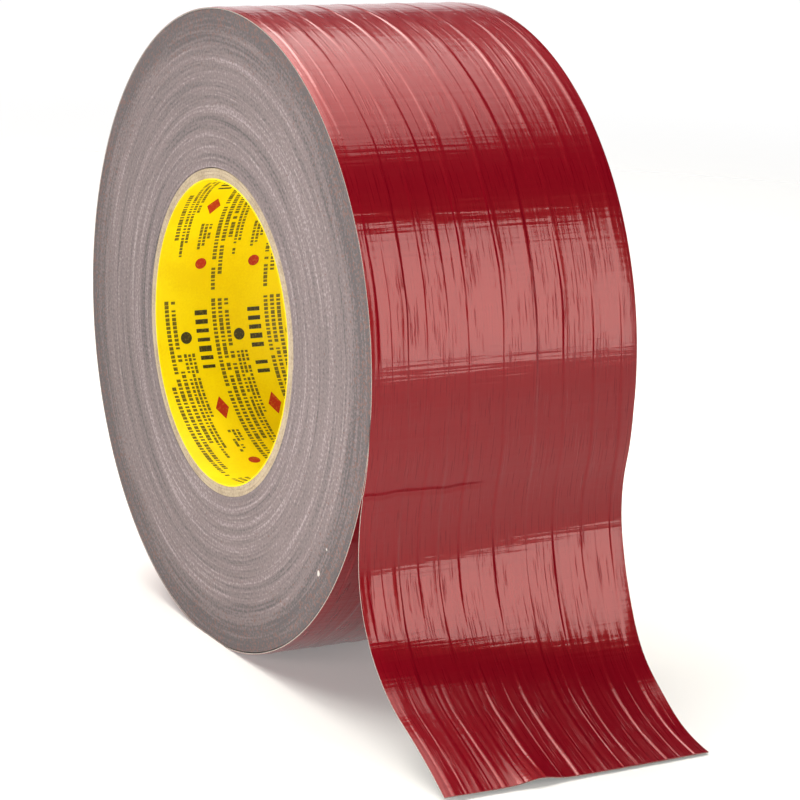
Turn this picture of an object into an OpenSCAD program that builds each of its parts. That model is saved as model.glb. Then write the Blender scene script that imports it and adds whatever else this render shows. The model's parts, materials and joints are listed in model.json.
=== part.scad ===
// Duct tape roll: cloth tape wound on a board core, with its loose tail peeled down at one side.
// Millimetres. The roll's axis is Y, the origin is the middle of the bore, Z is up.
// The roll stands on its rim, and the tail hangs on the +X side with its cut end just above the floor.

/* [Core] */
// Diameter of the bore
bore_d = 77; // [70:0.5:84]
// Thickness of the printed paper liner
liner_t = 0.4; // [0.2:0.05:1]
// Thickness of the inner board ply
inner_ply_t = 0.9; // [0.5:0.1:2]
// Thickness of the middle board ply
middle_ply_t = 0.9; // [0.5:0.1:2]
// Thickness of the outer board ply
outer_ply_t = 0.8; // [0.5:0.1:2]

/* [Tape] */
// Width of the tape
tape_w = 72; // [36:1:100]
// Thickness of the glossy film on the back of the tape
film_t = 0.08; // [0.05:0.01:0.15]
// Thickness of the cloth under the film
cloth_t = 0.08; // [0.05:0.01:0.15]
// Thickness of the adhesive under the cloth
adhesive_t = 0.12; // [0.08:0.01:0.2]
// Turns of tape on the core
turns = 142; // [60:1:180]
// Depth of the flat that the roll settles on where it stands
stand_flat = 0.5; // [0.3:0.1:1]
// Seam between the two ends of the outermost turn
turn_seam = 0.6; // [0.5:0.1:2]

/* [Tail] */
// Angle below level at which the tail leaves the roll
peel_angle = 14; // [0:1:30]
// Angle of the roll that the tail's root covers
root_wrap = 12; // [8:1:40]
// Clearance between the tail's root and the outermost turn
root_clear = 0.3; // [0.2:0.05:0.6]
// Gap between two stretches of the tail where it bends
bend_gap = 0.4; // [0.2:0.05:0.8]
// Length of the upper stretch
upper_len = 20; // [12:1:30]
// Angle that the upper stretch curves through
upper_curve = 26; // [5:1:45]
// Length of the middle stretch
middle_len = 20; // [12:1:30]
// Angle that the middle stretch curves through
middle_curve = 21; // [5:1:45]
// Length of the lower stretch
lower_len = 20; // [12:1:30]
// Angle that the lower stretch curves through
lower_curve = 31; // [5:1:45]
// Length of the end stretch, up to the cut edge
end_len = 22; // [12:1:40]
// Angle that the end stretch curves through
end_curve = 4; // [2:1:45]

/* [Hidden] */
$fn = 96;
// How far a cutting shape runs past what it cuts
cut = 1;
// Steps along the outermost turn at which its gap to itself is measured
gap_steps = 48;

liner_colour = "#ebcf08";
board_colour = "#b9a184";
edge_colour = "#9b918f";
film_colour = "#a3121f";
cloth_colour = "#ded6cc";
adhesive_colour = "#b4aaa2";

// Inner radius of each ply, from the bore outwards
bore_r = bore_d / 2;
inner_ply_r = bore_r + liner_t;
middle_ply_r = inner_ply_r + inner_ply_t;
outer_ply_r = middle_ply_r + middle_ply_t;
core_r = outer_ply_r + outer_ply_t;

// The tape's layers, measured up from its sticky face
tape_t = adhesive_t + cloth_t + film_t;
ADHESIVE = [0, adhesive_t];
CLOTH = [adhesive_t, adhesive_t + cloth_t];
FILM = [adhesive_t + cloth_t, tape_t];

// The outermost turn winds over all the turns before it
roll_r = core_r + turns * tape_t;
wound_r = roll_r - tape_t;
seam_angle = root_wrap / 2 - peel_angle;
tape_length = PI * (pow(roll_r, 2) - pow(core_r, 2)) / tape_t;

// The tail: its root lies on the roll, and four curved stretches follow
STRETCHES = ["root", "upper", "middle", "lower", "end"];
stretch_len = [undef, upper_len, middle_len, lower_len, end_len];
stretch_curve = [undef, upper_curve, middle_curve, lower_curve, end_curve];
root = 0;
first = 1;
last = len(STRETCHES) - 1;
root_r = roll_r + root_clear;

// A unit step in direction a, in the plane across the roll's axis
function step(a) = [cos(a), sin(a)];

// Angle that a run of length s takes on radius r
function sweep(s, r) = s / r * 180 / PI;

// Radius, starting direction, starting point and centre of a stretch's sticky face
function curve_r(i) = stretch_len[i] / stretch_curve[i] * 180 / PI;
function heading(i) = i == first ? -peel_angle - 90 : heading(i - 1) + stretch_curve[i - 1];
function start(i) = i == first
    ? root_r * step(-peel_angle)
    : centre(i - 1) - curve_r(i - 1) * step(heading(i) + 90);
function centre(i) = start(i) + curve_r(i) * step(heading(i) + 90);

// Middle of the tape's thickness at the start of a stretch, where it bends
function bend_point(i) = start(i) + tape_t / 2 * step(heading(i) + 90);

// Points along both faces of the outermost turn, from one end round to the other
seam_half = asin(turn_seam / 2 / wound_r);
turn_points = [
    for (k = [0 : gap_steps])
        for (r = [wound_r, roll_r])
            r * step(seam_angle + seam_half + k / gap_steps * (360 - 2 * seam_half))
];
turn_gap = min([
    for (i = [0 : gap_steps])
        for (j = [i + gap_steps : len(turn_points) - 1])
            norm(turn_points[i] - turn_points[j])
]);
echo(turn_gap = turn_gap, roll_d = 2 * roll_r, tape_length = tape_length);
echo(bend_points = [for (i = [first : last]) bend_point(i)]);

// Turns a shape drawn in X and Z, with its depth along its own Z, to lie across the roll's axis
module across() {
    rotate([90, 0, 0]) children();
}

// A round tube as wide as the tape
module tube(inner_r, outer_r) {
    across() difference() {
        cylinder(r = outer_r, h = tape_w, center = true);
        cylinder(r = inner_r, h = tape_w + 2 * cut, center = true);
    }
}

// A disc on the roll's axis, cut flat where the roll stands
module settled_disc(r, w) {
    across() difference() {
        cylinder(r = r, h = w, center = true);
        translate([-r, -r - cut, -w / 2 - cut]) cube([2 * r, cut + stand_flat, w + 2 * cut]);
    }
}

// One layer of the outermost turn: a single strip that follows the flat, open at its seam
module turn_layer(level) {
    difference() {
        settled_disc(wound_r + level[1], tape_w);
        settled_disc(wound_r + level[0], tape_w + 2 * cut);
        across() rotate(seam_angle) translate([wound_r - cut, -turn_seam / 2, -tape_w / 2 - cut])
            cube([tape_t + 2 * cut, turn_seam, tape_w + 2 * cut]);
    }
}

// One layer of a stretch of the tail, short of its neighbours by half a gap
module tail_layer(i, level) {
    thick = level[1] - level[0];
    if (i == root) {
        trim = sweep(bend_gap / 2, root_r);
        across() rotate(trim - peel_angle) rotate_extrude(angle = root_wrap - trim)
            translate([root_r + level[0], -tape_w / 2]) square([thick, tape_w]);
    } else {
        trim = sweep(bend_gap / 2, curve_r(i));
        end_trim = i == last ? 0 : trim;
        across() translate(centre(i)) rotate(heading(i) - 90 + trim)
            rotate_extrude(angle = stretch_curve[i] - trim - end_trim)
                translate([curve_r(i) - level[1], -tape_w / 2]) square([thick, tape_w]);
    }
}

module core_liner() {
    color(liner_colour) tube(bore_r, inner_ply_r);
}

module core_inner_ply() {
    color(board_colour) tube(inner_ply_r, middle_ply_r);
}

module core_middle_ply() {
    color(board_colour) tube(middle_ply_r, outer_ply_r);
}

module core_outer_ply() {
    color(board_colour) tube(outer_ply_r, core_r);
}

// All the turns under the outermost one, pressed into one block
module wound_tape() {
    color(edge_colour) difference() {
        settled_disc(wound_r, tape_w);
        across() cylinder(r = core_r, h = tape_w + 2 * cut, center = true);
    }
}

module outer_turn_adhesive() {
    color(adhesive_colour) turn_layer(ADHESIVE);
}

module outer_turn_cloth() {
    color(cloth_colour) turn_layer(CLOTH);
}

module outer_turn_film() {
    color(film_colour) turn_layer(FILM);
}

module tail_adhesive(i) {
    color(adhesive_colour) tail_layer(i, ADHESIVE);
}

module tail_cloth(i) {
    color(cloth_colour) tail_layer(i, CLOTH);
}

module tail_film(i) {
    color(film_colour) tail_layer(i, FILM);
}

core_liner();
core_inner_ply();
core_middle_ply();
core_outer_ply();
wound_tape();
outer_turn_adhesive();
outer_turn_cloth();
outer_turn_film();
for (i = [root : last]) {
    tail_adhesive(i);
    tail_cloth(i);
    tail_film(i);
}
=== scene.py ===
"""Looks of a duct tape roll: a red cloth tape, wound on a paper core, whose free end hangs to the floor.

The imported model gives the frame. Each class below makes the meshes of one sub-assembly and dresses them.
Lengths are millimetres until a mesh is made, and metres in Blender.
"""
from __future__ import annotations

import json
import logging
import math
from dataclasses import dataclass, field
from enum import Enum

import bpy
import numpy as np
from bpy.types import Material, Node, NodeSocket, NodeTree, Object, World
from mathutils import Matrix, Vector

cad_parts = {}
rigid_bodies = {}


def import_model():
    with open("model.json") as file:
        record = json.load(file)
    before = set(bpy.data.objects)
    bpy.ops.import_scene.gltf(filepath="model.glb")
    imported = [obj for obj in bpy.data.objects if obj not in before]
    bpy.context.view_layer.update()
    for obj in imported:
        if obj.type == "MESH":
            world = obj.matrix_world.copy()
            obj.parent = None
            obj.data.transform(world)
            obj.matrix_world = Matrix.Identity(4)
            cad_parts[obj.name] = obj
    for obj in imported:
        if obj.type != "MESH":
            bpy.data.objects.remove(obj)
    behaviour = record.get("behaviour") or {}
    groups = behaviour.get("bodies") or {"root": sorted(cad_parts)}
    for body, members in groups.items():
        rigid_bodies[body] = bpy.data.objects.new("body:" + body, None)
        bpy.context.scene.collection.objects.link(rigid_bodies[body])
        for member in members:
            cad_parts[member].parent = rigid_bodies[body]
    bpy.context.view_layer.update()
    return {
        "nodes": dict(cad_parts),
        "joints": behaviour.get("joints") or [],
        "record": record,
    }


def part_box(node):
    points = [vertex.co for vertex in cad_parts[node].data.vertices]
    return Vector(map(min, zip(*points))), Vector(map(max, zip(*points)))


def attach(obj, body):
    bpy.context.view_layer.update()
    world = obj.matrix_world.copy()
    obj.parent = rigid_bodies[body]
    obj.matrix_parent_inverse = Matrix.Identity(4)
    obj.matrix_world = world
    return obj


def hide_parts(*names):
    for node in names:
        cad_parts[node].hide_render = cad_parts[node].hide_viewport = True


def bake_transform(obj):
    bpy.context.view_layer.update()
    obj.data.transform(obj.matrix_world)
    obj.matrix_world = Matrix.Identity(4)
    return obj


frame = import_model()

MM = 0.001
LOG = logging.getLogger("tape_roll")
STRIP_UV = "strip"
SMOOTH = {"interpolation_type": "SMOOTHSTEP"}
PLY_NODES = ("core_liner", "core_inner_ply", "core_middle_ply", "core_outer_ply")

Array = np.ndarray
Colour = tuple[float, float, float, float]
Link = Node | NodeSocket
Point = tuple[float, float, float]
Span = tuple[float, float]


class Body(str, Enum):
    """The bodies that move."""

    ROLL = "roll"
    ROOT = "tail_root"
    UPPER = "tail_upper"
    MIDDLE = "tail_middle"
    LOWER = "tail_lower"
    END = "tail_end"


class Slot(str, Enum):
    """The record's material slots."""

    FILM = "tape_film"
    CLOTH = "tape_cloth"
    ADHESIVE = "tape_adhesive"
    EDGE = "tape_edge"
    BOARD = "core_board"
    LINER = "liner_paper"


def linear(hex_colour: str) -> Colour:
    """Turn an sRGB hex colour into linear light.

    Args:
        hex_colour: A colour such as "#7A0415".

    Returns:
        Red, green, blue and an alpha of one.
    """
    channels = [int(hex_colour[i:i + 2], 16) / 255 for i in (1, 3, 5)]
    red, green, blue = [c / 12.92 if c <= 0.04045 else ((c + 0.055) / 1.055) ** 2.4 for c in channels]
    return red, green, blue, 1.0


# Node tools

def wire(tree: NodeTree, node: Node, inputs: dict) -> Node:
    """Set a node's inputs, by a link where the value is a socket or another node.

    Args:
        tree: The node tree.
        node: The node to set.
        inputs: Input name or index to value, socket, or node, which stands for its first output in use.

    Returns:
        The same node.
    """
    for key, value in inputs.items():
        if isinstance(value, Node):
            value = next(output for output in value.outputs if output.enabled)
        if isinstance(value, NodeSocket):
            tree.links.new(value, node.inputs[key])
        else:
            node.inputs[key].default_value = value
    return node


def add_node(tree: NodeTree, kind: str, inputs: dict | None = None, **settings) -> Node:
    """Add one node with its settings and links.

    Args:
        tree: The node tree.
        kind: Blender's name of the node type.
        inputs: Input name or index to value, socket or node.
        settings: Properties of the node itself.

    Returns:
        The new node.
    """
    node = tree.nodes.new(kind)
    for key, value in settings.items():
        setattr(node, key, value)
    return wire(tree, node, inputs or {})


def empty_tree(owner: Material | World) -> NodeTree:
    """Give a material or the room an empty node tree.

    Args:
        owner: The material or the world.

    Returns:
        The tree.
    """
    owner.use_nodes = True
    owner.node_tree.nodes.clear()
    return owner.node_tree


def new_material(name: str, inputs: dict) -> tuple[Material, NodeTree, Node]:
    """Start a material with one shader.

    Args:
        name: What the real material is.
        inputs: Values of the shader that are the same all over.

    Returns:
        The material, its tree and its shader node.
    """
    material = bpy.data.materials.new(name)
    tree = empty_tree(material)
    shader = add_node(tree, "ShaderNodeBsdfPrincipled", inputs)
    add_node(tree, "ShaderNodeOutputMaterial", {"Surface": shader})
    return material, tree, shader


def stretched_noise(tree: NodeTree, place: Link, size_mm: tuple[float, ...], octaves: float) -> Node:
    """Add a noise whose blotches have a real size.

    Args:
        tree: The node tree.
        place: Coordinates in metres.
        size_mm: Size of a blotch along each coordinate, two of them on a strip.
        octaves: Octaves of finer noise.

    Returns:
        The noise, about 0.5 on average.
    """
    scale = [1 / (size * MM) for size in (*size_mm, 1.0)[:3]]
    scaled = add_node(tree, "ShaderNodeMapping", {"Vector": place, "Scale": scale})
    return add_node(tree, "ShaderNodeTexNoise", {"Vector": scaled, "Scale": 1.0, "Detail": octaves})


def calculate(tree: NodeTree, known: dict[str, Link], lines: list[tuple]) -> None:
    """Add a chain of sums.

    Args:
        tree: The node tree.
        known: Values by name. Each result joins them.
        lines: Name of a result, the operation and its operands, where a text names a known value.
    """
    for name, operation, *operands in lines:
        values = [known[value] if isinstance(value, str) else value for value in operands]
        known[name] = add_node(tree, "ShaderNodeMath", dict(enumerate(values)), operation=operation)


def weighted_sum(tree: NodeTree, parts: list[tuple[Link, float]]) -> Node:
    """Add values up, each with its weight.

    Args:
        tree: The node tree.
        parts: Pairs of a value and its weight.

    Returns:
        The sum.
    """
    total: Link | float = 0.0
    for value, weight in parts:
        total = add_node(tree, "ShaderNodeMath", {0: value, 1: weight, 2: total}, operation="MULTIPLY_ADD")
    return total


def mixed(tree: NodeTree, share: Link, low: Colour | Link, high: Colour | Link, span: Span) -> Node:
    """Mix two colours by a value that is first stretched.

    Args:
        tree: The node tree.
        share: The value that decides.
        low: Colour at the lower end.
        high: Colour at the upper end.
        span: Values at which the mix is all low and all high.

    Returns:
        The mixed colour.
    """
    stretch = {"Value": share, "From Min": span[0], "From Max": span[1]}
    level = add_node(tree, "ShaderNodeMapRange", stretch, **SMOOTH)
    return add_node(tree, "ShaderNodeMix", {0: level, 6: low, 7: high}, data_type="RGBA")


def bumped(tree: NodeTree, parts: list[tuple[Link, float]], relief_mm: float) -> Node:
    """Turn weighted heights into a relief."""
    height = weighted_sum(tree, parts)
    return add_node(tree, "ShaderNodeBump", {"Height": height, "Distance": relief_mm * MM})


# Finishes

@dataclass(frozen=True)
class TapeFilm:
    """Polyethylene film calendered over cloth.

    The pigment gives a soft red shine and the smooth skin over it a sharp pale one, so studio panels show as
    pale bands with crisp edges. The cloth below prints through as ribs across the tape, and winding leaves
    short hairline folds along it, in patches. Both comb the edges of those bands.
    """

    colour: str = "#780014"
    shade: str = "#730013"
    tone_span: Span = (0.3, 0.6)
    shine: str = "#FF5A48"
    shine_level: float = 0.72
    index: float = 1.51
    roughness: float = 0.3
    rough_swing: float = 0.04
    rough_span: Span = (0.3, 0.7)
    skin: float = 0.63
    skin_index: float = 1.5
    skin_roughness: float = 0.09
    rib_mm: Span = (38.0, 1.4)
    hairline_mm: Span = (0.38, 11.0)
    fold_span: Span = (0.56, 0.72)
    patch_mm: Span = (7.0, 16.0)
    patch_span: Span = (0.36, 0.62)
    pucker_mm: Span = (5.0, 8.0)
    rib_weight: float = 4.0
    fold_weight: float = 1.5
    hairline_weight: float = 0.5
    pucker_weight: float = 2.0
    relief_mm: float = 0.02

    def material(self) -> Material:
        """Make the finish.

        Returns:
            The material.
        """
        material, tree, shader = new_material("calendered_red_film", {
            "IOR": self.index, "Specular IOR Level": self.shine_level, "Specular Tint": linear(self.shine),
            "Coat Weight": self.skin, "Coat Roughness": self.skin_roughness, "Coat IOR": self.skin_index})
        place = add_node(tree, "ShaderNodeUVMap", uv_map=STRIP_UV)
        ribs, hairlines, puckers, patches = [
            stretched_noise(tree, place, size, octaves) for size, octaves in
            ((self.rib_mm, 2.0), (self.hairline_mm, 2.0), (self.pucker_mm, 1.0), (self.patch_mm, 1.0))]
        folds, patched = [add_node(tree, "ShaderNodeMapRange", {
            "Value": noise, "From Min": low, "From Max": high}, **SMOOTH)
            for noise, (low, high) in ((hairlines, self.fold_span), (patches, self.patch_span))]
        folded = add_node(tree, "ShaderNodeMath", {0: folds, 1: patched}, operation="MULTIPLY")
        heights = [(ribs, self.rib_weight), (folded, self.fold_weight), (hairlines, self.hairline_weight),
                   (puckers, self.pucker_weight)]
        bump = bumped(tree, heights, self.relief_mm)
        rough = add_node(tree, "ShaderNodeMapRange", {
            "Value": hairlines, "From Min": self.rough_span[0], "From Max": self.rough_span[1],
            "To Min": self.roughness - self.rough_swing, "To Max": self.roughness + self.rough_swing})
        tone = mixed(tree, hairlines, linear(self.shade), linear(self.colour), self.tone_span)
        wire(tree, shader, {"Base Color": tone, "Roughness": rough, "Normal": bump, "Coat Normal": bump})
        return material


@dataclass(frozen=True)
class RubberAdhesive:
    """Natural rubber adhesive spread on cloth: pale grey, half glossy, the scrim's grid pressed through."""

    colour: str = "#9F9A94"
    shade: str = "#837F7A"
    tone_span: Span = (0.5, 1.1)
    index: float = 1.52
    rough: Span = (0.35, 0.6)
    thread_pitch_mm: float = 1.3
    thread_slack: float = 0.6
    thread_weight: float = 0.5
    lump_mm: float = 2.4
    lump_weight: float = 0.8
    relief_mm: float = 0.08

    def material(self) -> Material:
        """Make the finish.

        Returns:
            The material.
        """
        material, tree, shader = new_material("spread_rubber_adhesive", {"IOR": self.index})
        place = add_node(tree, "ShaderNodeUVMap", uv_map=STRIP_UV)
        # A wave texture has 20 / (2 pi) bands in each unit of its scaled coordinate.
        scale = 2 * math.pi / 20 / (self.thread_pitch_mm * MM)
        heights = [(add_node(tree, "ShaderNodeTexWave", {
            "Vector": place, "Scale": scale, "Distortion": self.thread_slack, "Detail": 1.0},
            bands_direction=axis).outputs["Fac"], self.thread_weight) for axis in "XY"]
        lumps = stretched_noise(tree, place, (self.lump_mm, self.lump_mm), 3.0)
        heights.append((lumps, self.lump_weight))
        rough = add_node(tree, "ShaderNodeMapRange", {
            "Value": lumps, "To Min": self.rough[0], "To Max": self.rough[1]})
        height = weighted_sum(tree, heights)
        tone = mixed(tree, height, linear(self.shade), linear(self.colour), self.tone_span)
        bump = bumped(tree, [(height, 1.0)], self.relief_mm)
        wire(tree, shader, {"Base Color": tone, "Roughness": rough, "Normal": bump})
        return material


@dataclass(frozen=True)
class SlitEdge:
    """Slit edges of the wound turns: grey rubber and cut thread ends, matt and finely speckled.

    Single turns stand a little proud, and paler arcs painted along them are a painted highlight; the tone
    also drops towards the rim as a painted shade. Torn bits of the red film cling to the edges near the rim,
    and two pale bits of thread stick out, given by x, z and size. The thread ends are drawn about three
    times as wide as real ones, which would be too fine to show.
    """

    half_w: float
    wound_r: float
    colour: str = "#807374"
    pale: str = "#A5989A"
    dark: str = "#5B5557"
    scrap: str = "#775B56"
    thread: str = "#D8D2CC"
    roughness: float = 0.85
    speckle_mm: float = 0.75
    arc_mm: Span = (26.0, 0.6)
    ring_mm: Span = (70.0, 2.4)
    rim_w: float = 14.0
    arc_highlight_weight: float = 0.8
    ring_weight: float = 0.8
    speckle_weight: float = 1.1
    rim_shade_weight: float = -0.36
    grey_span: Span = (0.95, 1.4)
    pale_tone_and_highlight_span: Span = (1.38, 1.75)
    scrap_mm: float = 0.7
    scrap_w: float = 16.0
    scrap_gain: float = 0.16
    scrap_span: Span = (0.66, 0.78)
    bits: tuple[Point, ...] = ((58.2, -46.2, 1.0), (61.9, -39.1, 0.6))
    bit_ragged: float = 1.2
    bit_fade: float = 0.5
    arc_relief: float = 0.6
    relief_mm: float = 0.12

    def material(self) -> Material:
        """Make the finish.

        Returns:
            The material.
        """
        material, tree, shader = new_material("slit_tape_edges", {"Roughness": self.roughness})
        place = add_node(tree, "ShaderNodeTexCoord").outputs["Object"]
        level = add_node(tree, "ShaderNodeVectorMath", {0: place, 1: (1.0, 0.0, 1.0)}, operation="MULTIPLY")
        radius = add_node(tree, "ShaderNodeVectorMath", {0: level}, operation="LENGTH")
        x, _, z = add_node(tree, "ShaderNodeSeparateXYZ", {0: place}).outputs
        ring = add_node(tree, "ShaderNodeCombineXYZ", {0: x, 1: radius, 2: z})
        arcs, rings = [stretched_noise(tree, ring, (around, step, around), 2.0)
                       for around, step in (self.arc_mm, self.ring_mm)]
        speckle = stretched_noise(tree, place, (self.speckle_mm,) * 3, 3.0)
        scraps = stretched_noise(tree, place, (self.scrap_mm,) * 3, 2.0)
        rim = {"Value": radius, "From Max": self.wound_r * MM}
        # Painted shade: the tone drops towards the rim, darkening the grey there.
        outer = add_node(tree, "ShaderNodeMapRange", {
            **rim, "From Min": (self.wound_r - self.rim_w) * MM}, **SMOOTH)
        near_rim = add_node(tree, "ShaderNodeMapRange", {
            **rim, "From Min": (self.wound_r - self.scrap_w) * MM, "To Max": self.scrap_gain})
        tone = weighted_sum(tree, [(arcs, self.arc_highlight_weight), (rings, self.ring_weight),
                                   (speckle, self.speckle_weight), (outer, self.rim_shade_weight)])
        grey = mixed(tree, tone, linear(self.dark), linear(self.colour), self.grey_span)
        # Painted highlight: where the tone is high, mostly along the arcs of proud turns, the grey turns
        # pale; the rings and speckle in the tone are random.
        lit = mixed(tree, tone, grey, linear(self.pale), self.pale_tone_and_highlight_span)
        torn = weighted_sum(tree, [(scraps, 1.0), (near_rim, 1.0)])
        colour = mixed(tree, torn, lit, linear(self.scrap), self.scrap_span)
        for bit_x, bit_z, size in self.bits:
            middle = (bit_x * MM, -self.half_w * MM, bit_z * MM)
            away = add_node(tree, "ShaderNodeVectorMath", {0: place, 1: middle}, operation="DISTANCE")
            ragged = weighted_sum(tree, [(away, 1 / MM), (speckle, self.bit_ragged)])
            colour = mixed(tree, ragged, linear(self.thread), colour, (size, size + self.bit_fade))
        bump = bumped(tree, [(speckle, 1.0), (arcs, self.arc_relief)], self.relief_mm)
        wire(tree, shader, {"Base Color": colour, "Normal": bump})
        return material


@dataclass(frozen=True)
class Grain:
    """One noise of a finish: the size of its blotches, its octaves, and its weight in tone and in relief."""

    size_mm: Point
    octaves: float
    tone: float
    relief: float


@dataclass(frozen=True)
class GrainedFinish:
    """A finish whose tone and relief come from a few noises in the object's own coordinates."""

    title: str
    colour: str
    shade: str
    tone_span: Span
    grains: tuple[Grain, ...]
    relief_mm: float
    rough: Span = (0.9, 0.9)
    index: float = 1.5
    shine_level: float = 0.5

    def material(self) -> Material:
        """Make the finish.

        Returns:
            The material. The first noise moves its roughness, where that has a range.
        """
        material, tree, shader = new_material(self.title, {
            "IOR": self.index, "Specular IOR Level": self.shine_level, "Roughness": self.rough[0]})
        place = add_node(tree, "ShaderNodeTexCoord").outputs["Object"]
        noises = [stretched_noise(tree, place, grain.size_mm, grain.octaves) for grain in self.grains]
        pairs = list(zip(noises, self.grains))
        tone = weighted_sum(tree, [(noise, grain.tone) for noise, grain in pairs])
        bump = bumped(tree, [(noise, grain.relief) for noise, grain in pairs], self.relief_mm)
        colour = mixed(tree, tone, linear(self.shade), linear(self.colour), self.tone_span)
        wire(tree, shader, {"Base Color": colour, "Normal": bump})
        if self.rough[1] > self.rough[0]:
            wire(tree, shader, {"Roughness": add_node(tree, "ShaderNodeMapRange", {
                "Value": noises[0], "To Min": self.rough[0], "To Max": self.rough[1]})})
        return material


@dataclass(frozen=True)
class CottonCloth(GrainedFinish):
    """Woven cotton scrim: off-white threads, matt, seen only as a thin line along a cut edge."""

    title: str = "woven_cotton_scrim"
    colour: str = "#C2B8AD"
    shade: str = "#978C82"
    tone_span: Span = (0.35, 0.6)
    grains: tuple[Grain, ...] = (Grain((0.35, 0.35, 0.35), 2.0, tone=1.0, relief=1.0),)
    relief_mm: float = 0.05


@dataclass(frozen=True)
class CoreBoard(GrainedFinish):
    """Spiral wound paperboard: cream and matt, with short fibres and soft blotches.

    The fibres are drawn several times as wide as real ones, which would be too fine to show.
    """

    title: str = "wound_paperboard"
    colour: str = "#B5A48B"
    shade: str = "#9D8C75"
    tone_span: Span = (0.6, 1.0)
    grains: tuple[Grain, ...] = (Grain((0.5, 1.6, 0.5), 3.0, tone=1.0, relief=1.0),
                                 Grain((7.0, 7.0, 7.0), 2.0, tone=0.7, relief=0.0))
    relief_mm: float = 0.1


@dataclass(frozen=True)
class LinerPaper(GrainedFinish):
    """Coated yellow paper pasted inside the core: bright, smooth, with a soft sheen and a faint tooth.

    The tooth is drawn several times as coarse as real, which would be too fine to show.
    """

    title: str = "coated_yellow_paper"
    colour: str = "#F6DE02"
    shade: str = "#EDD000"
    tone_span: Span = (0.4, 0.75)
    grains: tuple[Grain, ...] = (Grain((0.5, 0.5, 0.5), 2.0, tone=0.4, relief=0.4),
                                 Grain((14.0, 14.0, 14.0), 2.0, tone=0.8, relief=0.8))
    relief_mm: float = 0.04
    rough: Span = (0.4, 0.62)
    shine_level: float = 0.2


class Ink(Enum):
    """Colours of the plain marks printed on the liner."""

    DARK = "#36311C"
    FINE = "#6A5E12"
    RED = "#B4200E"


@dataclass(frozen=True)
class PrintInk:
    """Flexographic ink on coated paper: thin, slightly uneven in tone, with the sheen of the paper."""

    ink: Ink
    roughness: float = 0.55
    patch_mm: float = 0.6
    patch_span: Span = (0.3, 0.5)
    paper_share: float = 0.12

    def material(self) -> Material:
        """Make the finish.

        Returns:
            The material.
        """
        name = f"liner_ink_{self.ink.name.lower()}"
        material, tree, shader = new_material(name, {"Roughness": self.roughness})
        place = add_node(tree, "ShaderNodeTexCoord").outputs["Object"]
        patches = stretched_noise(tree, place, (self.patch_mm,) * 3, 2.0)
        full, paper = linear(self.ink.value), linear(LinerPaper.colour)
        thin = tuple((1 - self.paper_share) * f + self.paper_share * p for f, p in zip(full, paper))
        wire(tree, shader, {"Base Color": mixed(tree, patches, thin, full, self.patch_span)})
        return material


# Mesh tools

def new_object(name: str, data: bpy.types.ID) -> Object:
    """Add an object to the scene.

    Args:
        name: Its name.
        data: Its mesh, lamp or camera.

    Returns:
        The object, at the origin.
    """
    item = bpy.data.objects.new(name, data)
    bpy.context.scene.collection.objects.link(item)
    return item


def closed_mesh(name: str, points: Array, quads: Array, caps: list[list[int]] | None = None,
                vertex_uv: Array | None = None, sharp_deg: float = 60.0) -> Object:
    """Make an object from a closed surface, with its faces turned outwards.

    Args:
        name: Name of the piece.
        points: Vertices in millimetres, one row each.
        quads: Four vertex numbers a face, all turned the same way.
        caps: Vertex numbers of the end faces, turned the same way.
        vertex_uv: Millimetres across and along the tape at each vertex.
        sharp_deg: Edges that bend more than this stay crisp.

    Returns:
        The object, linked to the scene.
    """
    volume = 0.0
    for second, third in ((1, 2), (2, 3)):
        a, b, c = points[quads[:, 0]], points[quads[:, second]], points[quads[:, third]]
        volume += float(np.einsum("ij,ij->i", a, np.cross(b, c)).sum())
    faces = quads.tolist() + (caps or [])
    if volume < 0:
        faces = [face[::-1] for face in faces]
    mesh = bpy.data.meshes.new(name)
    mesh.from_pydata((points * MM).tolist(), [], faces)
    if vertex_uv is not None:
        corners = np.empty(len(mesh.loops), dtype=np.int32)
        mesh.loops.foreach_get("vertex_index", corners)
        layer = mesh.uv_layers.new(name=STRIP_UV)
        layer.data.foreach_set("uv", (vertex_uv[corners] * MM).astype(np.float32).ravel())
    mesh.polygons.foreach_set("use_smooth", [True] * len(mesh.polygons))
    mesh.set_sharp_from_angle(angle=math.radians(sharp_deg))
    return new_object(name, mesh)


def strip_solid(name: str, top: Array, bottom: Array, along: Array) -> Object:
    """Make a closed strip from its top points and its bottom points.

    Args:
        name: Name of the piece.
        top: Rows along the strip by columns across it by x, y, z.
        bottom: The same rows, with any number of columns from the same edge to the same edge.
        along: Millimetres along the strip at each row.

    Returns:
        The object.
    """
    rows, cols = top.shape[:2]
    under = bottom.shape[1]
    upper = np.arange(rows * cols).reshape(rows, cols)
    lower = rows * cols + np.arange(rows * under).reshape(rows, under)
    grids = (upper, lower[:, ::-1], np.stack([lower[:, 0], upper[:, 0]], axis=1),
             np.stack([upper[:, -1], lower[:, -1]], axis=1))
    quads = np.concatenate([np.stack([g[:-1, :-1], g[:-1, 1:], g[1:, 1:], g[1:, :-1]], axis=2).reshape(-1, 4)
                            for g in grids])
    caps = [np.append(upper[0, ::-1], lower[0]).tolist(), np.append(upper[-1], lower[-1, ::-1]).tolist()]
    points = np.concatenate([top.reshape(-1, 3), bottom.reshape(-1, 3)])
    place = np.concatenate([np.repeat(along, cols), np.repeat(along, under)])
    return closed_mesh(name, points, quads, caps, np.stack([points[:, 1], place], axis=1))


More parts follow.
